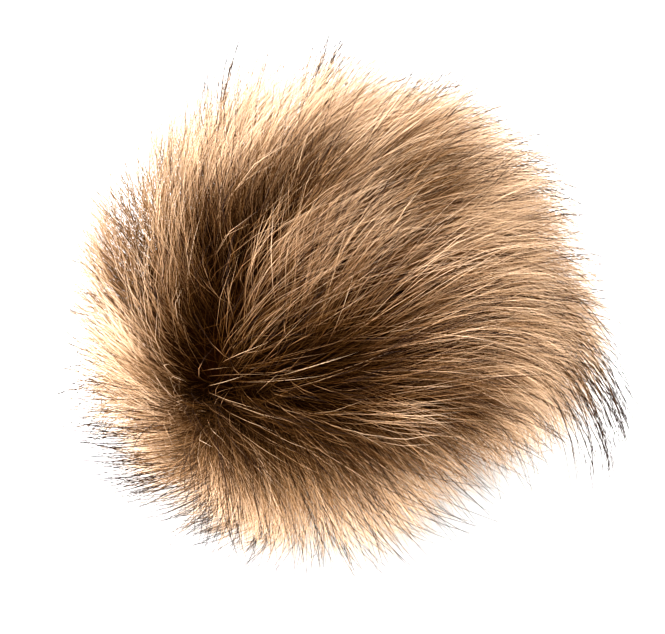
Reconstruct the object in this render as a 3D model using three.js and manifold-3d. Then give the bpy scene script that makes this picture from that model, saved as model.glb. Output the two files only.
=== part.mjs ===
// A stuffed fur pom pom, lying on a table. Millimetres, +Z up; the origin is the middle of the flat
// spot on which it rests. A round of long-pile fur is gathered round its filling into a ball, so the
// pile parts at the gathered point, low on the front left, and lies combed over the crown and down the
// far side. One solid: the matted undercoat, with locks of top hair rooted in it.
import * as THREE from "three";
import { mergeVertices } from "three/addons/utils/BufferGeometryUtils.js";
import Module from "manifold-3d";

// The ball of undercoat.
const UNDERCOAT_RADIUS = 45;
const CENTRE_HEIGHT = 43.4; // less than the radius, which leaves the flat spot under the ball
const UNDERCOAT_SIDES = 28;
const UNDERCOAT_BANDS = 15;

// The gathered point, where the pile parts and the ball is drawn in.
const GATHER_HEADING = 220; // degrees from +X towards +Y
const GATHER_RISE = -16; // degrees above the ball's middle
const GATHER_DEPTH = 5;
const GATHER_WIDTH = 18; // degrees

// Broad swells and hollows of the ball: where each points, how high it stands and how wide it is.
const SWELLS = [
  { heading: 204, rise: 2, height: 5.5, width: 44 }, // left side
  { heading: 176, rise: 30, height: 2.5, width: 34 }, // left shoulder
  { heading: 354, rise: -8, height: 4, width: 34 }, // right side
  { heading: 304, rise: -34, height: -6, width: 32 }, // low front right
  { heading: 250, rise: 14, height: -3, width: 30 }, // front, between the partings
];

// Partings in the pile: from where to where each runs, how deep and how wide it is, and how far it turns
// the locks beside it.
const PARTINGS = [
  { start: [230, 10], end: [224, 44], depth: 3, width: 10, turn: 0.45 },
  { start: [224, 44], end: [250, 74], depth: 3, width: 10, turn: 0.5 },
  { start: [224, -10], end: [292, 6], depth: 3, width: 10, turn: 0.3 },
];

// Where the locks are turned aside from their combing, anticlockwise as seen from outside.
const TURN = { heading: 236, rise: -36, turn: -60, width: 28 };

// The locks of top hair.
const LOCK_COUNT = 240;
const LOCK_LENGTH = 35;
const LOCK_WIDTH = 9;
const LOCK_THICKNESS = 3.6;
const ROOT_DEPTH = 3; // how far each root is sunk into the undercoat
const ROOT_LIFT = 48; // degrees between a lock and the ball at its root
const TIP_LIFT = 14;
const LENGTH_SPREAD = 0.15; // share of the length by which locks differ
const SWAY_SPREAD = 9; // degrees by which they differ in heading
const SECTIONS = [
  { along: 0, width: 0.72, thickness: 0.9 },
  { along: 0.3, width: 1, thickness: 1 },
  { along: 0.58, width: 0.86, thickness: 0.8 },
  { along: 0.82, width: 0.5, thickness: 0.5 },
];

// How the weight of the pile turns it downwards.
const FALL_FROM = 0.62; // height of a unit ball below which the pile starts to fall
const FALL_LOW = 1.15;
const FALL_FAR = 0.75;
const STANDING = 0.55; // a combing weaker than this lets the pile stand up
const DROOP = 0.22;

// The floor and the pile that is pressed on it.
const UNDERSIDE = -0.5; // height of a unit ball below which locks lie along the floor
const BARE_UNDERSIDE = -0.94; // and below which there is no room for them
const FLOOR_LENGTH = 0.52; // share of the length that is left where a lock lies on the floor
const FLOOR_THICKNESS = 0.5;

const wasm = await Module();
wasm.setup();

const UP = new THREE.Vector3(0, 0, 1);
const CENTRE = new THREE.Vector3(0, 0, CENTRE_HEIGHT);
const radians = THREE.MathUtils.degToRad;
const { lerp, smoothstep } = THREE.MathUtils;

function pointing(heading, rise) {
  const flat = Math.cos(radians(rise));
  const around = radians(heading);
  return new THREE.Vector3(flat * Math.cos(around), flat * Math.sin(around), Math.sin(radians(rise)));
}

const GATHER = pointing(GATHER_HEADING, GATHER_RISE);

// 1 in the middle of a place and less away from it.
function bell(angle, width) {
  return Math.exp(-((angle / radians(width)) ** 2));
}

// A fixed sequence of numbers from 0 to 1, so that every build gives the same locks.
function sequence(seed) {
  let state = seed;
  return () => {
    state = (state * 16807) % 2147483647;
    return state / 2147483647;
  };
}

// How far a direction is from a parting, as an angle, and the way square to the parting on that side of it.
function besideParting(parting, direction) {
  const start = pointing(...parting.start);
  const end = pointing(...parting.end);
  const square = start.clone().cross(end).normalize();
  const over = direction.dot(square);
  const foot = direction.clone().addScaledVector(square, -over).normalize();
  const isBeside = start.clone().cross(foot).dot(square) > 0 && foot.clone().cross(end).dot(square) > 0;
  const toEnd = Math.min(direction.angleTo(start), direction.angleTo(end));
  return { off: isBeside ? Math.asin(Math.abs(over)) : toEnd, side: square.multiplyScalar(Math.sign(over)) };
}

// How far the ball stands out in a direction, over its plain radius.
function swell(towards) {
  const direction = towards.clone().normalize();
  let height = -GATHER_DEPTH * bell(direction.angleTo(GATHER), GATHER_WIDTH);
  SWELLS.forEach((s) => {
    height += s.height * bell(direction.angleTo(pointing(s.heading, s.rise)), s.width);
  });
  PARTINGS.forEach((p) => {
    height -= p.depth * bell(besideParting(p, direction).off, p.width);
  });
  return height;
}

// The way the pile is combed at a direction from the ball's centre: away from the gathered point and the
// partings, and downwards on the lower and the far parts. Shorter than 1 where these work against each other.
function combing(direction) {
  const distance = direction.angleTo(GATHER);
  const away = direction.clone().multiplyScalar(direction.dot(GATHER)).sub(GATHER).normalize();
  const fall = direction.clone().multiplyScalar(direction.z).sub(UP);
  const low = Math.max(0, FALL_FROM - direction.z) * FALL_LOW * smoothstep(distance, radians(5), radians(45));
  const far = FALL_FAR * smoothstep(distance, radians(70), radians(135));
  const reach = distance < Math.PI / 2 ? 1 : Math.sin(distance);
  const comb = away.multiplyScalar(reach).addScaledVector(fall, low + far);
  PARTINGS.forEach((p) => {
    const { off, side } = besideParting(p, direction);
    comb.addScaledVector(side, p.turn * bell(off, p.width));
  });
  comb.addScaledVector(direction, -comb.dot(direction));
  const aside = TURN.turn * bell(direction.angleTo(pointing(TURN.heading, TURN.rise)), TURN.width);
  return comb.applyAxisAngle(direction, radians(aside));
}

// The three corners of a lock's section: a flat inner side, and a ridge along the outside.
function sectionCorners(point, way, facing, width, thickness) {
  const across = way.clone().cross(facing).multiplyScalar(width / 2);
  const inner = point.clone().addScaledVector(facing, -0.35 * thickness);
  const ridge = point.clone().addScaledVector(facing, 0.65 * thickness);
  return [inner.clone().sub(across), inner.clone().add(across), ridge];
}

// The sections of a lock from its root on, and its tip. It leaves the undercoat steeply, bends over to
// the way that the pile is combed, and where it meets the floor it turns outwards to lie level on it.
function lockSections(root, length, thickness, sway) {
  const flattened = root.z < UNDERSIDE;
  const point = CENTRE.clone().addScaledVector(root, UNDERCOAT_RADIUS + swell(root) - ROOT_DEPTH);
  const facing = root.clone();
  const corners = [];
  SECTIONS.forEach((section, i) => {
    const outwards = point.clone().sub(CENTRE).normalize();
    const comb = combing(outwards);
    const hold = Math.min(1, comb.length() / STANDING);
    const lift = radians(lerp(ROOT_LIFT, TIP_LIFT, section.along));
    let step = ((SECTIONS[i + 1]?.along ?? 1) - section.along) * length;
    const way = comb.normalize().applyAxisAngle(outwards, radians(sway));
    way.multiplyScalar(Math.cos(lift) * hold).addScaledVector(outwards, Math.sin(lift) + 1 - hold);
    way.addScaledVector(UP, -DROOP * section.along).normalize();
    if (flattened || point.z + way.z * step < thickness) {
      const alongFloor = outwards.clone().setZ(0).normalize();
      step *= flattened ? 1 : FLOOR_LENGTH;
      way.setZ(0).lerp(alongFloor, 0.5).normalize();
      way.setZ(Math.max(-1, (0.35 * thickness - point.z) / step)).normalize();
      facing.copy(UP);
    }
    facing.addScaledVector(way, -facing.dot(way)).normalize();
    const made = sectionCorners(point, way, facing, section.width * LOCK_WIDTH, section.thickness * thickness);
    const sunk = Math.max(0, -Math.min(...made.map((corner) => corner.z)));
    made.forEach((corner) => corner.addScaledVector(UP, sunk));
    corners.push(...made);
    point.addScaledVector(UP, sunk).addScaledVector(way, step);
  });
  return [...corners, point.setZ(Math.max(point.z, 0.1 * thickness))];
}

// One lock: a curved, tapering tuft.
function lockGeometry(corners) {
  const faces = [[0, 1, 2]];
  const tip = corners.length - 1;
  const last = tip - 3;
  for (let side = 0; side < 3; side += 1) {
    const next = (side + 1) % 3;
    for (let ring = 0; ring < last; ring += 3) {
      faces.push([ring + side, ring + 3 + side, ring + next]);
      faces.push([ring + next, ring + 3 + side, ring + 3 + next]);
    }
    faces.push([last + side, tip, last + next]);
  }
  return new THREE.BufferGeometry().setFromPoints(corners).setIndex(faces.flat());
}

// The undercoat: a ball turned from an arc, flat where it rests, then swollen and drawn in.
function undercoatGeometry() {
  const foot = Math.acos(CENTRE_HEIGHT / UNDERCOAT_RADIUS); // half the angle that the flat spot takes
  const profile = [new THREE.Vector2(0, -CENTRE_HEIGHT)];
  for (let i = 0; i < UNDERCOAT_BANDS; i += 1) {
    const angle = lerp(foot, Math.PI, i / UNDERCOAT_BANDS);
    profile.push(new THREE.Vector2(Math.sin(angle), -Math.cos(angle)).multiplyScalar(UNDERCOAT_RADIUS));
  }
  profile.push(new THREE.Vector2(0, UNDERCOAT_RADIUS));
  const ball = new THREE.LatheGeometry(profile, UNDERCOAT_SIDES).rotateX(Math.PI / 2);
  const position = ball.getAttribute("position");
  const vertex = new THREE.Vector3();
  for (let i = 0; i < position.count; i += 1) {
    vertex.fromBufferAttribute(position, i);
    const clearOfFoot = smoothstep(vertex.z, -CENTRE_HEIGHT, -0.55 * CENTRE_HEIGHT);
    vertex.addScaledVector(vertex.clone().normalize(), swell(vertex) * clearOfFoot).add(CENTRE);
    position.setXYZ(i, vertex.x, vertex.y, vertex.z);
  }
  return ball;
}

function solid(geometry) {
  geometry.deleteAttribute("normal");
  geometry.deleteAttribute("uv");
  const merged = mergeVertices(geometry, 1e-4);
  const triVerts = new Uint32Array(merged.index.array);
  const vertProperties = merged.getAttribute("position").array;
  return new wasm.Manifold(new wasm.Mesh({ numProp: 3, vertProperties, triVerts }));
}

// Evenly spread directions on a ball, from a golden-angle spiral.
function spread(count) {
  const turn = 180 * (3 - Math.sqrt(5));
  const rise = (i) => THREE.MathUtils.radToDeg(Math.asin(1 - (2 * i + 1) / count));
  return Array.from({ length: count }, (_, i) => pointing(i * turn, rise(i)));
}

function locks() {
  const random = sequence(41);
  const roots = spread(LOCK_COUNT).filter((root) => root.z > BARE_UNDERSIDE);
  return roots.map((root) => {
    const flattened = root.z < UNDERSIDE;
    const thickness = LOCK_THICKNESS * (flattened ? FLOOR_THICKNESS : 1);
    const share = (1 + LENGTH_SPREAD * (2 * random() - 1)) * (flattened ? FLOOR_LENGTH : 1);
    const sway = SWAY_SPREAD * (2 * random() - 1);
    return solid(lockGeometry(lockSections(root, LOCK_LENGTH * share, thickness, sway)));
  });
}

function furBall() {
  const joined = wasm.Manifold.union([solid(undercoatGeometry()), ...locks()]).getMesh();
  const geometry = new THREE.BufferGeometry();
  geometry.setAttribute("position", new THREE.BufferAttribute(joined.vertProperties, 3));
  geometry.setIndex(new THREE.BufferAttribute(joined.triVerts, 1));
  geometry.computeVertexNormals();
  const fur = new THREE.MeshStandardMaterial({ color: 0xa47a55, roughness: 0.8, metalness: 0 });
  const mesh = new THREE.Mesh(geometry, fur);
  mesh.name = "fur_ball";
  return mesh;
}

const pomPom = new THREE.Group();
pomPom.add(furBall());

export default pomPom;
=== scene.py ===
"""A stuffed pom pom of long combed fur: its looks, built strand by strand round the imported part.

The pile parts at the gathered point, low on the front left, and lies combed over the crown and down the
far side. Locks, tufts and strands are grown along the combing alike. Then each tuft is drawn towards its
lock at the tips, and each strand towards its tuft. Sizes are in metres, in the part's own frame, and
headings are degrees from +X towards +Y, but for what says otherwise.
"""

import math

import bpy
import numpy as np
from bpy.props import FloatProperty, FloatVectorProperty, IntProperty, PointerProperty
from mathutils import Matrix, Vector


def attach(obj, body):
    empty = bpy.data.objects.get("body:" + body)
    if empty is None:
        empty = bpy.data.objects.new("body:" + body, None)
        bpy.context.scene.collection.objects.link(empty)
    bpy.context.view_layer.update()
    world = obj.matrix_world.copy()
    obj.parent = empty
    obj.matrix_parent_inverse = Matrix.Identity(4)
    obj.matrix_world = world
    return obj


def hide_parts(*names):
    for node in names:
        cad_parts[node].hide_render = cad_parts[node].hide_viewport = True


bl_info = {
    "name": "Fur pom pom",
    "version": (1, 0, 0),
    "blender": (4, 5, 0),
    "location": "3D View > Sidebar > Fur pom pom",
    "description": "Builds a stuffed pom pom of long combed fur, strand by strand",
    "category": "Add Mesh",
}

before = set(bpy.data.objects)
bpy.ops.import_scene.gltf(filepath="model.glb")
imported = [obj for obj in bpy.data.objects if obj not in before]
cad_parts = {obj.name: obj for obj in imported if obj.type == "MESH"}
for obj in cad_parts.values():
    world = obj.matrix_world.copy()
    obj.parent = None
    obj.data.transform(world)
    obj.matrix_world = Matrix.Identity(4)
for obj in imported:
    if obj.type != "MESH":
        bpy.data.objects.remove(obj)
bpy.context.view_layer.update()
BODY = "root"
NODE = "fur_ball"

MM = 0.001
UP = np.array([0.0, 0.0, 1.0])
GOLDEN_TURN = math.pi * (3 - math.sqrt(5))

# How far from the gathered point the pile starts to fall and where it falls in full, in degrees: for the low
# pile and for the far pile.
LOW_FALL_WITHIN = (5, 45)
FAR_FALL_WITHIN = (70, 135)

# How widely the gathered point is felt, in degrees.
BARE_WIDTH = 1.5  # nothing grows so close to it
CROWDED_WIDTH = 55  # where tufts crowd towards it
FLATTENED_WIDTH = 16  # where the pile lies flatter
SHORTENED_WIDTH = 14  # where it is shorter and straighter
LOCKS_APART_WIDTH = 22  # where tufts aren't drawn into locks, which would hook them over the point
TUFTS_APART_WIDTH = 14  # and strands aren't drawn into tufts

# How strands grow.
GROWTH_STEPS = 18
CURL_PIVOT = 0.35  # share of a strand's length at which it heads as it would without its curl
HELD_BACK = 0.05  # share of its step that a strand takes once it is past its outer radius
UNDERSIDE = (0.1, 0.8)  # depths on a unit ball at which the pile starts to be shorter and is shortest
FLOOR_LAYER = (0.3 * MM, 1.9 * MM)  # heights that strands on the floor lie at
DRAW_POWER = 1.5  # above 1, tufts are drawn into locks mostly at their tips
TUFT_JITTER = 1.2  # how unevenly tufts are rooted, as a share of their mean distance
LIFT_PART = 0.7  # share of the lift's spread that tufts and strands each take
SPREAD_PART = 0.7  # share of the spread round a root that each axis takes
LOCK_SEED = 5

# How far strands run from the dark root colour, 0, to the pale tip colour, 1, and which tones they have.
FULL_REACH = 0.97
STRAND_REACH = 0.05  # how much strands differ
REACH_RANGE = (0.1, 1)
TONE_RANGE = (0.02, 0.98)
MOST_SHADED = 1.15  # how much of a shade most strands take
SHADE_POWER = 6  # the higher it is, the fewer strands take less

# Where the colours lie between the root, 0, and the end, 1.
LOW_AT = 0.22
MIDDLE_AT = 0.44
TIP_AT = 0.7
DARK_TIP_AT = 0.54

# The form of a strand. Its last width is the taper of its layer.
SIDES = 3
STRAND_PROFILE = {"along": (0, 0.12, 0.45, 1), "width": (0.55, 0.95, 1.0)}

# The map of a strand, which is kept twice: once for the colours and once for the export.
PATTERN_MAP = "strand"
KEPT_MAP = "OFBake"
MAP_EDGE = 0.01  # bare edge of the map
TONE_PART = 0.97  # share of the map's width that the tones take
REACH_PART = 0.98  # share of its height that the run from root to tip takes
STRAND_MAP_WIDTH = 0.004  # share of its width that one side of a strand takes

BALL_FOOT = 1.0 * MM  # height at which the ball is flat, over the pile that it presses on the floor
CAMERA_AIM = Vector((-0.0018, 0, 0.0434))

# The studio: how bright the soft light from all round is, and the lamps, with their places and sizes in metres.
SOFT_LIGHT = 0.9
LAMPS_AIM = Vector((0, 0, 0.05))
LAMPS = (
    {"name": "key", "place": (-0.25, -0.1, 1.0), "size": 1.0, "watts": 27},
    {"name": "front", "place": (-0.25, -1.0, 0.22), "size": 0.8, "watts": 38},
    {"name": "left", "place": (-0.8, -0.2, 0.2), "size": 0.5, "watts": 18},
    {"name": "right", "place": (0.8, 0.3, 0.35), "size": 0.5, "watts": 8},
)

# In the tables below, lengths are in millimetres and angles in degrees.

# Broad swells and hollows of the ball: where each points, how high it stands and how wide it is.
SWELLS = (
    {"heading": 210, "rise": -6, "height": 5.5, "width": 46},
    {"heading": 174, "rise": 26, "height": 4.5, "width": 32},
    {"heading": 354, "rise": -12, "height": 6, "width": 30},
    {"heading": 310, "rise": -42, "height": -13, "width": 36},
    {"heading": 262, "rise": -50, "height": -8, "width": 28},
    {"heading": 212, "rise": -38, "height": 3, "width": 26},
    {"heading": 135, "rise": 48, "height": -5, "width": 30},
    {"heading": 12, "rise": 16, "height": -4, "width": 24},
)

# Partings in the pile: from where to where each runs, how deep and how wide it is, how far it turns the pile,
# and how much less of the run from dark root to pale tip the strands beside it have, which is painted shade
# in the parting.
PARTINGS = (
    {"from": (228, 12), "to": (227, 50), "depth": 4, "width": 7, "turn": 0.2, "less": 0.2},
    {"from": (227, 50), "to": (258, 79), "depth": 4, "width": 8, "turn": 0.25, "less": 0.5},
    {"from": (224, -10), "to": (292, 6), "depth": 3, "width": 9, "turn": 0.25, "less": 0.25},
    {"from": (336, 60), "to": (10, 68), "depth": 4, "width": 7, "turn": 0.3, "less": 0.2},
)

# Where the pile is turned aside from its combing: a direction, how far it turns, anticlockwise as seen from
# outside, and how wide the turn is.
TURNS = (
    {"heading": 236, "rise": -40, "turn": -60, "width": 24},
    {"heading": 208, "rise": -38, "turn": -35, "width": 20},
)

# Where strands differ from the rest: a direction, how wide the place is, and how much less of the run from dark
# root to pale tip they have there, how much lighter they are and how much shorter. Less and lighter are partly
# the fur's own darker and lighter places and partly painted shade and painted light: painted shade over the dark
# middle round the gathered point and in the gaps between locks, and painted light on the rims, where light
# shines through the tips from behind, and on the underside, where the floor throws light back. What is less or
# lighter goes by where a strand is seen, and what is shorter by where it is rooted.
SHADES = (
    # Painted shade, partly the fur's own darker colour, where less is above 0 in these rows: the dark middle
    # round the gathered point and the gaps between locks. Where less is below 0 here, a lock is lighter.
    {"heading": 254, "rise": 9, "width": 36, "less": 0.64},
    {"heading": 290, "rise": 35, "width": 40, "less": 0.08},
    {"heading": 241, "rise": -6, "width": 12, "less": 0.1},
    {"heading": 240, "rise": 20, "width": 14, "less": 0.22},
    {"heading": 212, "rise": 18, "width": 11, "less": -0.3},
    {"heading": 262, "rise": 2, "width": 14, "less": 0.15},
    {"heading": 280, "rise": 30, "width": 14, "less": 0.38},
    {"heading": 200, "rise": 38, "width": 13, "less": 0.25, "lighter": 0.1},
    {"heading": 268, "rise": 60, "width": 16, "less": 0.14},
    {"heading": 246, "rise": 67, "width": 10, "less": 0.35},
    {"heading": 328, "rise": 62, "width": 8, "less": 0.55},
    {"heading": 312, "rise": 2, "width": 18, "less": 0.2},
    {"heading": 286, "rise": 10, "width": 8, "less": -0.55},
    {"heading": 303, "rise": 9, "width": 8, "less": 0.25},
    # The next three rows are painted light on the rims, where light shines through the tips from behind.
    {"heading": 100, "rise": 62, "width": 36, "less": -0.05, "lighter": 0.5},
    {"heading": 36, "rise": 50, "width": 26, "less": -0.2, "lighter": 0.7},
    {"heading": 356, "rise": 8, "width": 24, "lighter": 0.45},
    # The next two rows are painted shade, partly the fur's own darker colour, as above.
    {"heading": 314, "rise": 34, "width": 18, "less": 0.08},
    {"heading": 178, "rise": 24, "width": 20, "less": 0.32, "lighter": 0.15},
    # The next two rows are painted light on the underside, where the floor throws light back, partly paler fur.
    {"heading": 206, "rise": -16, "width": 28, "less": -0.1, "lighter": 0.7},
    {"heading": 268, "rise": -22, "width": 20, "less": -0.2, "lighter": 0.6},
    {"heading": 308, "rise": -26, "width": 30, "shorter": 0.52},
    {"heading": 250, "rise": -44, "width": 24, "shorter": 0.1},
    {"heading": 352, "rise": 4, "width": 24, "shorter": -0.2},
)

# Loose wisps that stand out past the rest: where each is rooted and how widely, how many hairs it has, how long
# they are, how far they stand up, how far they are turned aside from the combing, how loosely they lie and how
# far from the ball's middle they can reach.
WISPS = (
    {"at": (124, 60), "width": 5, "hairs": 80, "long": 62, "lift": 58, "turn": 24, "loose": 0.5, "outer": 77},
    {"at": (158, 40), "width": 3, "hairs": 30, "long": 60, "lift": 54, "turn": -6, "loose": 0.5, "outer": 76},
    {"at": (66, 52), "width": 12, "hairs": 100, "long": 56, "lift": 58, "turn": 18, "loose": 1, "outer": 74},
    {"at": (30, 46), "width": 12, "hairs": 90, "long": 56, "lift": 38, "turn": 0, "loose": 0.7, "outer": 74},
    {"at": (349, 19), "width": 10, "hairs": 110, "long": 78, "lift": 18, "turn": -66, "loose": 0.6, "outer": 76},
    {"at": (202, -18), "width": 13, "hairs": 110, "long": 78, "lift": 34, "turn": 8, "loose": 1, "outer": 79},
    {"at": (222, -28), "width": 12, "hairs": 120, "long": 76, "lift": 42, "turn": -34, "loose": 1, "outer": 73},
    {"at": (178, 12), "width": 12, "hairs": 60, "long": 58, "lift": 42, "turn": 15, "loose": 1, "outer": 74},
    {"at": (246, -34), "width": 16, "hairs": 200, "long": 68, "lift": 46, "turn": 20, "loose": 1.2, "outer": 72},
    {"at": (300, -30), "width": 14, "hairs": 40, "long": 62, "lift": 56, "turn": -10, "loose": 1.2, "outer": 72},
)


# ---------------------------------------------------------------- sizes and colours

# Short forms of the properties, by what they measure.


def length(name, description, default):
    return FloatProperty(name=name, description=description, default=default, min=0, unit="LENGTH", precision=4)


def angle(name, description, degrees):
    return FloatProperty(name=name, description=description, default=math.radians(degrees), subtype="ANGLE")


def share(name, description, default):
    return FloatProperty(name=name, description=description, default=default)


def whole(name, description, default):
    return IntProperty(name=name, description=description, default=default, min=1)


def colour(name, description, default):
    return FloatVectorProperty(
        name=name, description=description, default=default, subtype="COLOR", min=0, max=1
    )


class PomPomShape(bpy.types.PropertyGroup):
    """The ball under the pile, and how the pile is combed."""

    ball_radius: length("Ball radius", "Radius of the stuffed backing that the pile grows from", 38.5 * MM)
    matted: length("Matted", "How thick the matted wool at the roots is", 3.5 * MM)
    centre_height: length("Centre height", "Height of the ball's middle above the surface", 43.4 * MM)
    gather_heading: angle("Gather heading", "Which way the gathered point faces, from +X towards +Y", 220)
    gather_rise: angle("Gather rise", "How far the gathered point lies above the ball's middle", -19)
    gather_depth: length("Gather depth", "How far the ball is drawn in at the gathered point", 4 * MM)
    gather_width: angle("Gather width", "How wide the ball is drawn in there", 18)
    gather_flat: share("Gather flat", "How much flatter the pile lies at the gathered point", -0.1)
    gather_short: share("Gather short", "How much shorter the pile is at the gathered point", 0.3)
    fall_from: share("Fall from", "Height on a unit ball below which the pile starts to fall", 0.62)
    fall_low: share("Low fall", "How strongly the low pile falls", 1.15)
    fall_far: share("Far fall", "How strongly the pile far from the gathered point falls", 0.75)
    standing: share("Standing", "A combing weaker than this lets the pile stand up", 0.55)
    stiffness: share("Stiffness", "How much a strand keeps its way rather than follow the combing", 0.9)
    low_length: share("Low length", "Length of the pile under the ball, as a share of the rest", 0.82)
    pressed: share("Pressed", "Length of a strand that lies on the floor, as a share of its free length", 0.75)
    crowded: share("Crowded", "How much the tufts crowd towards the gathered point", 0.35)
    splayed: share("Splayed", "How strongly strands on the floor turn outwards", 0.8)
    lock_sway: angle("Lock sway", "How much locks differ in heading", 9)
    lock_lift: angle("Lock lift", "How much locks differ in how far they stand up", 6)
    lock_uneven: share("Lock uneven", "How much locks differ in length", 0.09)
    lock_count: whole("Lock count", "Number of broad locks that the tufts are drawn into", 520)
    lock_tone: share("Lock tone", "How much locks differ in tone", 0.22)
    tuft_tone: share("Tuft tone", "How much tufts differ in tone", 0.18)
    lock_reach: share("Lock reach", "How much locks differ in how far they run from dark to pale", 0.12)
    tuft_reach: share("Tuft reach", "How much tufts differ in how far they run from dark to pale", 0.06)
    skew: share("Skew", "Above 1, most strands are dark and a few light", 2.0)


def pile_sizes(per_tuft, wide, points, **other):
    """The sizes that every layer of pile has, with the defaults of one layer."""
    given = {
        "root_lift": 50,
        "tip_lift": 8,
        "lift_spread": 8,
        "sway": 8,
        "stray": 6,
        "curl": 14,
        "droop": 0.2,
        "uneven": 0.35,
        "locked": 0.3,
        "tufted": 0.45,
        "spread": 2.2,
        "taper": 0.25,
        "lowest": -1,
        "shaded": 1,
        "light": 1,
        **other,
    }
    return {
        "per_tuft": whole("Strands per tuft", "Number of strands in a tuft", per_tuft),
        "wide": length("Width", "Width of a strand at its thickest", wide * MM),
        "points": whole("Points", "Number of points along a strand", points),
        "root_lift": angle("Root lift", "Angle between a strand and the ball at its root", given["root_lift"]),
        "tip_lift": angle("Tip lift", "Angle between a strand and the ball at its tip", given["tip_lift"]),
        "lift_spread": angle("Lift spread", "How much that angle differs between tufts", given["lift_spread"]),
        "sway": angle("Sway", "How much tufts differ in heading", given["sway"]),
        "stray": angle("Stray", "How much strands of a tuft differ in heading", given["stray"]),
        "curl": angle("Curl", "How far a strand turns aside along its length", given["curl"]),
        "droop": share("Droop", "How much a strand's own weight bends it down at the tip", given["droop"]),
        "uneven": share("Uneven", "Share of the length by which strands differ", given["uneven"]),
        "locked": share("Locked", "How far tufts are drawn into broad locks at their tips", given["locked"]),
        "tufted": share("Tufted", "How far strands are drawn together at their tips", given["tufted"]),
        "taper": share("Taper", "Width of a strand just short of its point, as a share", given["taper"]),
        "lowest": share("Lowest", "Height on a unit ball below which no such strand grows", given["lowest"]),
        # The dark part that shaded scales is partly painted shade.
        "shaded": share("Shaded", "How much darker these strands are in the dark part", given["shaded"]),
        "light": share("Light", "Share of the light tones that these strands have", given["light"]),
        "spread": length("Spread", "Radius of a tuft at its root", given["spread"] * MM),
    }


def covering_sizes(strands, long, *plain, outer=69, **other):
    """The sizes of a layer that covers the whole ball."""
    return {
        "strands": whole("Strands", "Number of strands", strands),
        "long": length("Length", "Length of a strand", long * MM),
        "outer": length("Outer radius", "How far from the ball's middle a strand can reach", outer * MM),
        **pile_sizes(*plain, **other),
    }


class UnderfurSizes(bpy.types.PropertyGroup):
    """The dense, fine, soft underfur."""

    # Its shaded above 1 makes it darker than the top hair in the dark part: painted shade in the gaps between
    # the top hair.
    __annotations__ = covering_sizes(
        22500, 47.5, 6, 0.095, 5, root_lift=54, tip_lift=18, tufted=0, locked=0.15, stray=11, sway=9, curl=9,
        uneven=0.25, taper=0.7, shaded=1.15
    )


class TopHairSizes(bpy.types.PropertyGroup):
    """The long silky hair that shows."""

    __annotations__ = covering_sizes(
        13000, 49, 10, 0.09, 6, root_lift=48, tip_lift=12, locked=0.35, tufted=0.25, curl=7, lift_spread=6,
        stray=8, uneven=0.28, taper=0.55
    )


class GuardHairSizes(bpy.types.PropertyGroup):
    """The longest hair, with dark tips, that stands out past the rest."""

    __annotations__ = covering_sizes(
        3400, 58, 2, 0.15, 6, outer=70, root_lift=62, tip_lift=28, sway=12, locked=0.2, tufted=0.2, taper=0.6,
        lowest=-0.55, shaded=0.2, light=0.8
    )


class WispSizes(bpy.types.PropertyGroup):
    """The loose wisps, whose own table has the sizes that differ from wisp to wisp."""

    __annotations__ = pile_sizes(
        2, 0.2, 8, root_lift=52, tip_lift=0, lift_spread=7, stray=7, locked=0, tufted=0.4, taper=0.6,
        shaded=0.1, light=0.4
    )


class FurColours(bpy.types.PropertyGroup):
    """Colours along the strands."""

    # The root and the dark low colours are near black: partly the fur's own dark roots and partly painted shade
    # deep in the pile.
    root: colour("Root", "Deep in the pile", (0.004, 0.001, 0.0001))
    low: colour("Low", "The lower part of a light strand", (0.09, 0.042, 0.013))
    middle: colour("Middle", "The middle of a light strand", (0.30, 0.178, 0.095))
    tip: colour("Tip", "The outer part of a light strand", (0.68, 0.48, 0.325))
    # The pale end colours, here and for dark strands, are partly the fur's own pale tips and partly a painted
    # glow of light shining through them from behind.
    end: colour("End", "The very end of a light strand", (0.82, 0.62, 0.46))
    dark_low: colour("Dark low", "The lower part of a dark strand", (0.005, 0.0012, 0.0001))
    dark_middle: colour("Dark middle", "The middle of a dark strand", (0.050, 0.020, 0.0055))
    dark_tip: colour("Dark tip", "The outer part of a dark strand", (0.44, 0.285, 0.17))
    dark_end: colour("Dark end", "The very end of a dark strand", (0.62, 0.44, 0.31))
    guard_tip: colour("Guard hair tip", "The outer end of a guard hair", (0.02, 0.012, 0.009))


class StageSizes(bpy.types.PropertyGroup):
    """The camera and the floor."""

    camera_rise: angle("Camera rise", "How far the camera looks down", 35)
    camera_distance: length("Camera distance", "From the middle of the ball to the camera", 0.56)
    lens: FloatProperty(name="Lens", description="Focal length in millimetres", default=124)
    floor_size: length("Floor size", "Side of the square floor", 6)


# ---------------------------------------------------------------- combing


def unit(vectors):
    """The vectors at length 1."""
    return vectors / np.maximum(np.linalg.norm(vectors, axis=-1, keepdims=True), 1e-12)


def dot(a, b):
    """The dot product of each pair of vectors, as a column."""
    return np.sum(a * b, axis=-1, keepdims=True)


def ramp(x, low, high):
    """A smooth rise from 0 at the low value to 1 at the high one."""
    t = np.clip((x - low) / (high - low), 0, 1)
    return t * t * (3 - 2 * t)


def pointing(heading, rise):
    """The direction at a heading and a rise in radians."""
    flat = math.cos(rise)
    return np.array([flat * math.cos(heading), flat * math.sin(heading), math.sin(rise)])


def towards(heading, rise):
    """The direction at a heading and a rise in degrees."""
    return pointing(math.radians(heading), math.radians(rise))


def towards_gather(shape):
    """The direction of the gathered point."""
    return pointing(shape.gather_heading, shape.gather_rise)


def bell(angles, width):
    """1 in the middle of a place and less away from it, for a width in radians."""
    return np.exp(-((angles / width) ** 2))


def bell_at(angles, width):
    """The same for a width in degrees."""
    return bell(angles, math.radians(width))


def angle_to(directions, middle):
    """The angle between each direction and the middle one."""
    return np.arccos(np.clip(directions @ middle, -1, 1))


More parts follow.
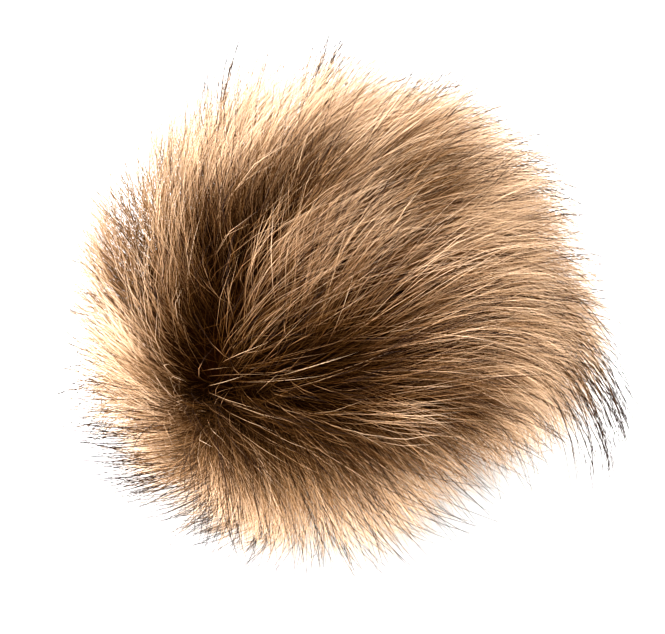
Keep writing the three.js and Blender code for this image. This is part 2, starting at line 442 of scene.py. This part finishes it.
def off_parting(parting, directions):
    """How far each direction is from a parting, as an angle, and the way square to the parting on that side."""
    start, end = towards(*parting["from"]), towards(*parting["to"])
    square = unit(np.cross(start, end))
    over = directions @ square
    foot = unit(directions - over[:, None] * square)
    beside = (np.cross(start, foot) @ square > 0) & (np.cross(foot, end) @ square > 0)
    ends = np.minimum(angle_to(directions, start), angle_to(directions, end))
    return np.where(beside, np.arcsin(np.clip(np.abs(over), 0, 1)), ends), square * np.sign(over)[:, None]


def swell(shape, directions):
    """How far the ball stands out in each direction, over its plain radius."""
    height = -shape.gather_depth * bell(angle_to(directions, towards_gather(shape)), shape.gather_width)
    for s in SWELLS:
        off = angle_to(directions, towards(s["heading"], s["rise"]))
        height = height + s["height"] * MM * bell_at(off, s["width"])
    for p in PARTINGS:
        off, _ = off_parting(p, directions)
        height = height - p["depth"] * MM * bell_at(off, p["width"])
    return height


def shading(directions, kind):
    """How much less, lighter or shorter the strands are at each direction, by the shades and the partings. Less
    and lighter are partly painted shade and painted light.
    """
    change = 0
    for s in SHADES:
        off = angle_to(directions, towards(s["heading"], s["rise"]))
        change = change + s.get(kind, 0) * bell_at(off, s["width"])
    for p in PARTINGS:
        off, _ = off_parting(p, directions)
        change = change + p.get(kind, 0) * bell_at(off, p["width"])
    return change


def combing(shape, directions):
    """The way the pile is combed at each direction from the ball's middle: away from the gathered point, and
    downwards on the lower and the far parts. Shorter than 1 where the two work against each other."""
    gather = towards_gather(shape)
    distance = angle_to(directions, gather)[:, None]
    away = unit(directions * (directions @ gather)[:, None] - gather)
    rise = directions[:, 2:]
    fall = directions * rise - UP
    low = np.maximum(0, shape.fall_from - rise) * shape.fall_low
    low = low * ramp(distance, *np.radians(LOW_FALL_WITHIN))
    far = shape.fall_far * ramp(distance, *np.radians(FAR_FALL_WITHIN))
    reach = np.where(distance < math.pi / 2, 1, np.sin(distance))
    comb = away * reach + fall * (low + far)
    for p in PARTINGS:
        off, side = off_parting(p, directions)
        comb = comb + side * (p["turn"] * bell_at(off, p["width"]))[:, None]
    aside = 0
    for t in TURNS:
        off = angle_to(directions, towards(t["heading"], t["rise"]))
        aside = aside + math.radians(t["turn"]) * bell_at(off, t["width"])
    comb = comb - directions * dot(comb, directions)
    return turned(comb, directions, np.reshape(aside, (-1, 1)))


def turned(vectors, axes, angles):
    """Each vector turned about its axis, which is square to it."""
    return vectors * np.cos(angles) + np.cross(axes, vectors) * np.sin(angles)


def grow(shape, roots, long, root_lift, tip_lift, sway, curl, droop, floor, outer):
    """The middle lines of strands, step by step: out of the ball, over to the combing, and level along the
    floor where they meet it."""
    centre = UP * shape.centre_height
    point = centre + roots * (shape.ball_radius + swell(shape, roots))[:, None]
    point[:, 2:] = np.maximum(point[:, 2:], floor)
    lines = [point.copy()]
    step = long[:, None] / GROWTH_STEPS
    before = roots
    for i in range(GROWTH_STEPS):
        along = i / GROWTH_STEPS
        outwards = unit(point - centre)
        comb = combing(shape, outwards)
        hold = np.minimum(1, np.linalg.norm(comb, axis=1, keepdims=True) / shape.standing)
        lift = (root_lift + (tip_lift - root_lift) * along)[:, None]
        heading = (sway + curl * (along - CURL_PIVOT))[:, None]
        way = turned(unit(comb), outwards, heading) * np.cos(lift) * hold
        way = way + outwards * (np.sin(lift) + 1 - hold) - UP * (droop * along)
        way = unit(unit(way) + before * (shape.stiffness if i else 0))
        reached = point[:, 2:] + way[:, 2:] * step < floor
        level = unit(outwards * [1, 1, 0])
        flat = unit(unit(way * [1, 1, 0]) + level * shape.splayed)
        way = np.where(reached, flat, way)
        beyond = np.linalg.norm(point - centre, axis=1, keepdims=True) > outer
        point = point + way * step * np.where(reached, shape.pressed, 1) * np.where(beyond, HELD_BACK, 1)
        point[:, 2:] = np.maximum(point[:, 2:], floor)
        before = way
        lines.append(point.copy())
    return np.stack(lines, axis=1)


def evenly(count):
    """Evenly spread directions on a ball, from a golden-angle spiral."""
    i = np.arange(count)
    rise = 1 - (2 * i + 1) / count
    flat = np.sqrt(1 - rise * rise)
    return np.stack([flat * np.cos(i * GOLDEN_TURN), flat * np.sin(i * GOLDEN_TURN), rise], axis=1)


def sampled(lines, points):
    """The lines with that many points, evenly along their length."""
    ends = np.linalg.norm(np.diff(lines, axis=1), axis=2)
    run = np.concatenate([np.zeros((len(lines), 1)), np.cumsum(ends, axis=1)], axis=1)
    at = run[:, -1:] * np.linspace(0, 1, points)
    low = np.minimum(np.sum(run[:, None, 1:] <= at[:, :, None], axis=2), lines.shape[1] - 2)
    rows = np.arange(len(lines))[:, None]
    part = (at - run[rows, low]) / np.maximum(run[rows, low + 1] - run[rows, low], 1e-9)
    return lines[rows, low] + (lines[rows, low + 1] - lines[rows, low]) * np.clip(part, 0, 1)[..., None]


# ---------------------------------------------------------------- strands


def side_axes(lines, centre):
    """For each point of each line, the directions across it and out of it."""
    way = unit(np.gradient(lines, axis=1))
    across = unit(np.cross(way, unit(lines - centre)))
    return across, np.cross(across, way)


def spread_tufts(shape, sizes, rng):
    """The tufts of a layer that covers the ball, crowded towards the gathered point: where each is rooted, how
    long it is, how much further than the rest it stands up and turns aside, how loosely its strands lie, and
    how far from the ball's middle they can reach."""
    tufts = max(1, sizes.strands // sizes.per_tuft)
    roots = unit(evenly(tufts) + rng.normal(0, TUFT_JITTER / math.sqrt(tufts), (tufts, 3)))
    gather = towards_gather(shape)
    gathered = angle_to(roots, gather)
    closer = gathered * (1 - shape.crowded * bell_at(gathered, CROWDED_WIDTH))
    aside = unit(roots - gather * dot(roots, gather))
    roots = gather * np.cos(closer)[:, None] + aside * np.sin(closer)[:, None]
    none, full = np.zeros(tufts), np.ones(tufts)
    return roots, full * sizes.long, none, none, full, full * sizes.outer


def wisp_tufts(shape, sizes, rng):
    """The same for the tufts of the loose wisps."""
    roots, rest = [], []
    for wisp in WISPS:
        tufts = wisp["hairs"] // sizes.per_tuft
        width = SPREAD_PART * math.radians(wisp["width"])
        roots.append(unit(towards(*wisp["at"]) + rng.normal(0, width, (tufts, 3))))
        lift, turn = math.radians(wisp["lift"]), math.radians(wisp["turn"])
        rest.append(np.tile([wisp["long"] * MM, lift, turn, wisp["loose"], wisp["outer"] * MM], (tufts, 1)))
    return np.concatenate(roots), *np.concatenate(rest).T


def lock_traits(shape):
    """How each lock differs from the rest, alike for every layer."""
    rng = np.random.default_rng(LOCK_SEED)
    spreads = {
        "lift": shape.lock_lift,
        "tone": shape.lock_tone,
        "reach": shape.lock_reach,
        "sway": shape.lock_sway,
        "long": shape.lock_uneven,
    }
    traits = {name: spread * rng.normal(0, 1, shape.lock_count) for name, spread in spreads.items()}
    traits["long"] = 1 - traits["long"]
    return traits


def grow_rank(shape, sizes, roots, long, lift, tip, sway, outer, loose, rng):
    """The lines of strands, or of the guides of tufts or locks, that are rooted in those directions. The looser
    they are, the more they differ from each other."""
    count = len(roots)
    gathered = angle_to(roots, towards_gather(shape))
    flat = 1 - shape.gather_flat * bell_at(gathered, FLATTENED_WIDTH)
    drawn_in = bell_at(gathered, SHORTENED_WIDTH)
    short = 1 - (1 - shape.low_length) * ramp(-roots[:, 2], *UNDERSIDE) - shading(roots, "shorter")
    short = short * (1 - shape.gather_short * drawn_in)
    long = long * short * (1 - sizes.uneven * np.minimum(loose, 1) * rng.uniform(0, 1, count))
    lift_spread = loose * sizes.lift_spread
    root_lift = (sizes.root_lift + lift + lift_spread * rng.normal(0, LIFT_PART, count)) * flat
    tip_lift = sizes.tip_lift + tip + lift_spread * rng.normal(0, LIFT_PART, count)
    sway = sway + loose * sizes.stray * rng.normal(0, 1, count)
    curl = loose * sizes.curl * rng.normal(0, 1, count) * (1 - drawn_in)
    low, high = FLOOR_LAYER
    floor = low + (high - low) * rng.uniform(0, 1, (count, 1))
    lines = grow(shape, roots, long, root_lift, tip_lift, sway, curl, sizes.droop, floor, outer)
    return sampled(lines, sizes.points)


def kept_apart(shape, directions, width):
    """0 at the gathered point and 1 away from it, for each direction."""
    return 1 - bell_at(angle_to(directions, towards_gather(shape)), width)[:, None, None]


def strand_lines(shape, sizes, tufts, rng):
    """The middle lines of all strands of a layer, each one's tone from 0, dark, to 1, light, and how far each
    runs from the dark root colour, 0, to the pale tip colour, 1."""
    tuft_roots, tuft_long, tuft_lift, tuft_turn, tuft_loose, tuft_outer = tufts
    tufts = len(tuft_roots)
    count = tufts * sizes.per_tuft
    lock_roots = evenly(shape.lock_count)
    lock = np.argmax(tuft_roots @ lock_roots.T, axis=1)
    tuft = np.repeat(np.arange(tufts), sizes.per_tuft)
    width = SPREAD_PART * sizes.spread / shape.ball_radius
    roots = unit(tuft_roots[tuft] + rng.normal(0, width, (count, 3)))
    bare = angle_to(roots, towards_gather(shape)) <= math.radians(BARE_WIDTH)
    kept = (roots[:, 2] > sizes.lowest) & ~bare
    tuft, roots = tuft[kept], roots[kept]
    count = len(roots)

    # A tuft takes the turns of its lock and a strand those of its tuft, and each adds its own. A rank has its
    # roots, lengths, lifts at the root and at the tip, headings, outer radii and looseness.
    locks = lock_traits(shape)
    long = tuft_long * locks["long"][lock]
    lift = locks["lift"][lock] + tuft_loose * sizes.lift_spread * rng.normal(0, LIFT_PART, tufts)
    sway = tuft_loose * (locks["sway"][lock] + sizes.sway * rng.normal(0, 1, tufts)) + tuft_turn
    tip = lift + tuft_lift
    outer = tuft_outer[:, None]
    lock_long = np.mean(tuft_long) * locks["long"]
    ranks = (
        (lock_roots, lock_long, locks["lift"], locks["lift"], locks["sway"], np.mean(outer), 0.0),
        (tuft_roots, long, lift, tip, sway, outer, 0.0),
        (roots, long[tuft], lift[tuft], tip[tuft], sway[tuft], outer[tuft], tuft_loose[tuft]),
    )
    lock_lines, guides, strands = (grow_rank(shape, sizes, *rank, rng) for rank in ranks)
    along = np.linspace(0, 1, sizes.points)[None, :, None]
    apart = kept_apart(shape, tuft_roots, LOCKS_APART_WIDTH)
    guides = guides + (lock_lines[lock] - guides) * sizes.locked * along**DRAW_POWER * apart
    apart = kept_apart(shape, roots, TUFTS_APART_WIDTH)
    strands = strands + (guides[tuft] - strands) * sizes.tufted * along * apart
    strands[..., 2] = np.maximum(strands[..., 2], sizes.wide)

    # A strand is seen mostly at two thirds of its length. There it takes the less and lighter of the shades and
    # partings: partly the fur's own darker and lighter places, partly painted shade and painted light.
    seen = unit(strands[:, sizes.points * 2 // 3] - UP * shape.centre_height)
    tone = rng.uniform(0, 1, count) ** shape.skew + locks["tone"][lock[tuft]]
    tone = tone + shape.tuft_tone * rng.normal(0, 1, tufts)[tuft] + shading(seen, "lighter")
    shaded = sizes.shaded * (MOST_SHADED - rng.uniform(0, 1, count) ** SHADE_POWER)
    reach = FULL_REACH - shading(seen, "less") * shaded + STRAND_REACH * rng.normal(0, 1, count)
    reach = reach + locks["reach"][lock[tuft]] + shape.tuft_reach * rng.normal(0, 1, tufts)[tuft]
    return strands, np.clip(tone * sizes.light, *TONE_RANGE), np.clip(reach, *REACH_RANGE)


def strand_corners(lines, sizes, centre, rng):
    """The corners of each strand: rings round its middle line, as wide as its profile says, and its point."""
    count, points, _ = lines.shape
    rings = points - 1
    across, out = side_axes(lines, centre)
    along = np.linspace(0, 1, points)[:rings]
    widths = (*STRAND_PROFILE["width"], sizes.taper)
    profile = np.interp(along, STRAND_PROFILE["along"], widths) * sizes.wide / 2
    roll = rng.uniform(0, 2 * math.pi, (count, 1, 1)) + 2 * math.pi * np.arange(SIDES) / SIDES
    ring = across[:, :rings, None] * np.cos(roll)[..., None] + out[:, :rings, None] * np.sin(roll)[..., None]
    ring = lines[:, :rings, None] + ring * profile[None, :, None, None]
    return np.concatenate([ring.reshape(count, rings * SIDES, 3), lines[:, -1:]], axis=1)


def strand_faces(rings):
    """Which corners the faces of one strand have: first the quads of its sides, then its root and its point."""
    side = np.arange(SIDES)
    after = (side + 1) % SIDES
    low = SIDES * np.arange(rings - 1)[:, None]
    quads = np.stack([low + side, low + after, low + SIDES + after, low + SIDES + side], axis=-1)
    last = SIDES * (rings - 1)
    tips = np.stack([last + side, last + after, np.full(SIDES, SIDES * rings)], axis=-1)
    return quads.reshape(-1, 4), np.concatenate([side[::-1][None], tips])


def map_places(corners, points, tone, reach):
    """Where those corners of each strand lie on its map: across by its tone, and up from root to tip."""
    is_tip = corners == SIDES * (points - 1)
    sideways = np.where(is_tip, SIDES // 2, corners % SIDES) * STRAND_MAP_WIDTH
    up = np.linspace(0, 1, points)[corners // SIDES]
    places = np.empty((len(tone), len(corners), 2), np.float32)
    places[..., 0] = MAP_EDGE + TONE_PART * tone[:, None] + sideways[None]
    places[..., 1] = MAP_EDGE + REACH_PART * up[None] * reach[:, None]
    return places


def strand_mesh(name, lines, tone, reach, sizes, centre, rng):
    """One joined mesh of closed, tapering strands, with their map."""
    count, points, _ = lines.shape
    corners = strand_corners(lines, sizes, centre, rng)
    quads, triangles = strand_faces(points - 1)
    loops = np.concatenate([quads.ravel(), triangles.ravel()])
    sides = np.repeat([4, 3], [len(quads), len(triangles)])
    starts = np.cumsum(sides) - sides
    strand = np.arange(count)[:, None]

    mesh = bpy.data.meshes.new(name)
    mesh.vertices.add(count * corners.shape[1])
    mesh.vertices.foreach_set("co", corners.astype(np.float32).ravel())
    mesh.loops.add(count * len(loops))
    mesh.loops.foreach_set("vertex_index", (loops + strand * corners.shape[1]).astype(np.int32).ravel())
    mesh.polygons.add(count * len(sides))
    mesh.polygons.foreach_set("loop_start", (starts + strand * len(loops)).astype(np.int32).ravel())
    mesh.polygons.foreach_set("use_smooth", np.ones(count * len(sides), bool))
    mesh.update(calc_edges=True)
    places = map_places(loops, points, tone, reach)
    for layer in (PATTERN_MAP, KEPT_MAP):
        mesh.uv_layers.new(name=layer).uv.foreach_set("vector", places.ravel())
    mesh.uv_layers.active = mesh.uv_layers[PATTERN_MAP]
    mesh.validate()
    return mesh


def add_piece(mesh, material):
    """Adds a piece of pile that rides on the part's body."""
    piece = bpy.data.objects.new(mesh.name, mesh)
    bpy.context.scene.collection.objects.link(piece)
    mesh.materials.append(material)
    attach(piece, BODY)


def add_layer(context, name, sizes, parts, seed, dark_tip=False, tufts_of=spread_tufts):
    """Adds a layer of pile, split into that many pieces."""
    material = strand_material(name, context.scene.pom_pom_colours, dark_tip)
    shape = context.scene.pom_pom_shape
    rng = np.random.default_rng(seed)
    lines, tone, reach = strand_lines(shape, sizes, tufts_of(shape, sizes, rng), rng)
    order = rng.permutation(len(lines))
    centre = UP * shape.centre_height
    for number, part in enumerate(np.array_split(order, parts), 1):
        own = np.sort(part)
        mesh = strand_mesh(f"{name}_{number}", lines[own], tone[own], reach[own], sizes, centre, rng)
        add_piece(mesh, material)


# ---------------------------------------------------------------- materials


def node_material(name):
    """A new material, with its nodes and links."""
    material = bpy.data.materials.new(name)
    material.use_nodes = True
    return material, material.node_tree.nodes, material.node_tree.links


def colour_ramp(nodes, stops):
    """A colour ramp with those positions and colours."""
    made = nodes.new("ShaderNodeValToRGB")
    elements = made.color_ramp.elements
    while len(elements) < len(stops):
        elements.new(0.5)
    for element, (position, rgb) in zip(elements, stops):
        element.position = position
        element.color = (*rgb, 1)
    return made


def strand_material(name, colours, dark_tip):
    """Colours that run from a dark root to a pale tip, or a dark one on guard hair, by each strand's tone."""
    material, nodes, links = node_material(name)
    shader = nodes["Principled BSDF"]
    places = nodes.new("ShaderNodeUVMap")
    places.uv_map = PATTERN_MAP
    apart = nodes.new("ShaderNodeSeparateXYZ")
    links.new(places.outputs["UV"], apart.inputs[0])
    ramps = []
    for low, middle, tip, end in (
        (colours.dark_low, colours.dark_middle, colours.dark_tip, colours.dark_end),
        (colours.low, colours.middle, colours.tip, colours.end),
    ):
        stops = [(0.0, colours.root), (LOW_AT, low), (MIDDLE_AT, middle)]
        stops += [(DARK_TIP_AT, colours.guard_tip)] if dark_tip else [(TIP_AT, tip), (1.0, end)]
        made = colour_ramp(nodes, stops)
        links.new(apart.outputs["Y"], made.inputs["Fac"])
        ramps.append(made)
    mix = nodes.new("ShaderNodeMix")
    mix.data_type = "RGBA"
    links.new(apart.outputs["X"], mix.inputs["Factor"])
    links.new(ramps[0].outputs["Color"], mix.inputs["A"])
    links.new(ramps[1].outputs["Color"], mix.inputs["B"])
    links.new(mix.outputs["Result"], shader.inputs["Base Color"])
    shader.inputs["Roughness"].default_value = 0.5
    shader.inputs["Specular IOR Level"].default_value = 0
    return material


def undercoat_material(colours):
    """Matted wool under the pile, near-black as painted shade deep in the partings, where only it is seen."""
    material, nodes, links = node_material("matted_undercoat")
    shader = nodes["Principled BSDF"]
    places = nodes.new("ShaderNodeTexCoord")
    fibres = nodes.new("ShaderNodeTexNoise")
    fibres.inputs["Scale"].default_value = 900
    fibres.inputs["Detail"].default_value = 6
    links.new(places.outputs["Object"], fibres.inputs["Vector"])
    # The near-black tint, from the root colours, is painted shade, with fibres.
    tint = colour_ramp(nodes, [(0.35, colours.root), (0.7, colours.dark_low)])
    links.new(fibres.outputs["Fac"], tint.inputs["Fac"])
    links.new(tint.outputs["Color"], shader.inputs["Base Color"])
    bump = nodes.new("ShaderNodeBump")
    bump.inputs["Distance"].default_value = 0.4 * MM
    links.new(fibres.outputs["Fac"], bump.inputs["Height"])
    links.new(bump.outputs["Normal"], shader.inputs["Normal"])
    shader.inputs["Roughness"].default_value = 0.95
    shader.inputs["Specular IOR Level"].default_value = 0
    return material


# ---------------------------------------------------------------- operators


class POMPOM_OT_ball(bpy.types.Operator):
    """Add the stuffed ball that the pile grows from"""

    bl_idname = "pompom.ball"
    bl_label = "Add stuffed ball"

    def execute(self, context):
        shape = context.scene.pom_pom_shape
        bpy.ops.object.select_all(action="DESELECT")
        bpy.ops.mesh.primitive_ico_sphere_add(subdivisions=4, radius=1, location=(0, 0, 0))
        ball = context.object
        ball.name = ball.data.name = "stuffed_ball"
        directions = unit(np.array([v.co for v in ball.data.vertices]))
        matted = shape.matted * (1 - bell(angle_to(directions, towards_gather(shape)), shape.gather_width))
        radius = shape.ball_radius + swell(shape, directions) + matted
        places = directions * radius[:, None] + UP * shape.centre_height
        places[:, 2] = np.maximum(places[:, 2], BALL_FOOT)
        ball.data.vertices.foreach_set("co", places.astype(np.float32).ravel())
        ball.data.materials.append(undercoat_material(context.scene.pom_pom_colours))
        bpy.ops.object.shade_smooth()
        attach(ball, BODY)
        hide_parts(NODE)
        return {"FINISHED"}


class POMPOM_OT_underfur(bpy.types.Operator):
    """Add the dense, soft underfur"""

    bl_idname = "pompom.underfur"
    bl_label = "Add underfur"

    def execute(self, context):
        sizes = context.scene.pom_pom_underfur
        add_layer(context, "underfur", sizes, parts=3, seed=11)
        return {"FINISHED"}


class POMPOM_OT_top_hair(bpy.types.Operator):
    """Add the long silky hair that shows"""

    bl_idname = "pompom.top_hair"
    bl_label = "Add top hair"

    def execute(self, context):
        sizes = context.scene.pom_pom_top_hair
        add_layer(context, "top_hair", sizes, parts=2, seed=23)
        return {"FINISHED"}


class POMPOM_OT_guard_hair(bpy.types.Operator):
    """Add the longest hair, with dark tips"""

    bl_idname = "pompom.guard_hair"
    bl_label = "Add guard hair"

    def execute(self, context):
        sizes = context.scene.pom_pom_guard_hair
        add_layer(context, "guard_hair", sizes, parts=1, seed=37, dark_tip=True)
        return {"FINISHED"}


class POMPOM_OT_wisps(bpy.types.Operator):
    """Add the loose wisps that stand out past the rest"""

    bl_idname = "pompom.wisps"
    bl_label = "Add wisps"

    def execute(self, context):
        sizes = context.scene.pom_pom_wisps
        add_layer(context, "wisps", sizes, parts=1, seed=53, dark_tip=True, tufts_of=wisp_tufts)
        return {"FINISHED"}


class POMPOM_OT_stage(bpy.types.Operator):
    """Add the floor, the lights and the camera"""

    bl_idname = "pompom.stage"
    bl_label = "Add stage"

    def execute(self, context):
        scene = context.scene
        sizes = scene.pom_pom_stage
        bpy.ops.object.select_all(action="DESELECT")
        bpy.ops.mesh.primitive_plane_add(size=sizes.floor_size, location=(0, 0, 0))
        floor = context.object
        floor.name = "floor"
        material, nodes, _ = node_material("pale_floor")
        nodes["Principled BSDF"].inputs["Base Color"].default_value = (0.9, 0.9, 0.9, 1)
        nodes["Principled BSDF"].inputs["Roughness"].default_value = 0.9
        floor.data.materials.append(material)
        add_lights(scene)
        add_camera(scene, sizes)
        return {"FINISHED"}


def add_lights(scene):
    """Adds the soft white light from all round, and the lamps."""
    world = bpy.data.worlds.new("studio")
    world.use_nodes = True
    world.node_tree.nodes["Background"].inputs["Color"].default_value = (1, 1, 1, 1)
    world.node_tree.nodes["Background"].inputs["Strength"].default_value = SOFT_LIGHT
    scene.world = world
    for lamp in LAMPS:
        light = bpy.data.lights.new(lamp["name"], "AREA")
        light.size = lamp["size"]
        light.energy = lamp["watts"]
        holder = bpy.data.objects.new(lamp["name"], light)
        holder.location = lamp["place"]
        holder.rotation_euler = (LAMPS_AIM - holder.location).to_track_quat("-Z", "Y").to_euler()
        scene.collection.objects.link(holder)
    scene.view_settings.view_transform = "Standard"
    scene.view_settings.look = "Medium High Contrast"


def add_camera(scene, sizes):
    """Adds the camera, on the front side, looking down at the ball."""
    back = Vector((0, -math.cos(sizes.camera_rise), math.sin(sizes.camera_rise)))
    data = bpy.data.cameras.new("camera")
    data.lens = sizes.lens
    holder = bpy.data.objects.new("camera", data)
    holder.location = CAMERA_AIM + back * sizes.camera_distance
    holder.rotation_euler = (-back).to_track_quat("-Z", "Y").to_euler()
    scene.collection.objects.link(holder)
    scene.camera = holder


class POMPOM_PT_panel(bpy.types.Panel):
    """Lists the pom pom's operators"""

    bl_idname = "POMPOM_PT_panel"
    bl_label = "Fur pom pom"
    bl_space_type = "VIEW_3D"
    bl_region_type = "UI"
    bl_category = "Fur pom pom"

    def draw(self, context):
        for maker in MAKERS:
            self.layout.operator(maker.bl_idname)


GROUPS = {
    "pom_pom_shape": PomPomShape,
    "pom_pom_underfur": UnderfurSizes,
    "pom_pom_top_hair": TopHairSizes,
    "pom_pom_guard_hair": GuardHairSizes,
    "pom_pom_wisps": WispSizes,
    "pom_pom_colours": FurColours,
    "pom_pom_stage": StageSizes,
}
MAKERS = (
    POMPOM_OT_stage,
    POMPOM_OT_ball,
    POMPOM_OT_underfur,
    POMPOM_OT_top_hair,
    POMPOM_OT_guard_hair,
    POMPOM_OT_wisps,
)
CLASSES = (*GROUPS.values(), *MAKERS, POMPOM_PT_panel)


def register():
    for made in CLASSES:
        bpy.utils.register_class(made)
    for name, group in GROUPS.items():
        setattr(bpy.types.Scene, name, PointerProperty(type=group))


def unregister():
    for name in GROUPS:
        delattr(bpy.types.Scene, name)
    for made in reversed(CLASSES):
        bpy.utils.unregister_class(made)


def main():
    """Builds the pom pom and its stage."""
    register()
    bpy.ops.pompom.stage()
    bpy.ops.pompom.ball()
    bpy.ops.pompom.underfur()
    bpy.ops.pompom.top_hair()
    bpy.ops.pompom.guard_hair()
    bpy.ops.pompom.wisps()


if __name__ == "__main__":
    main()
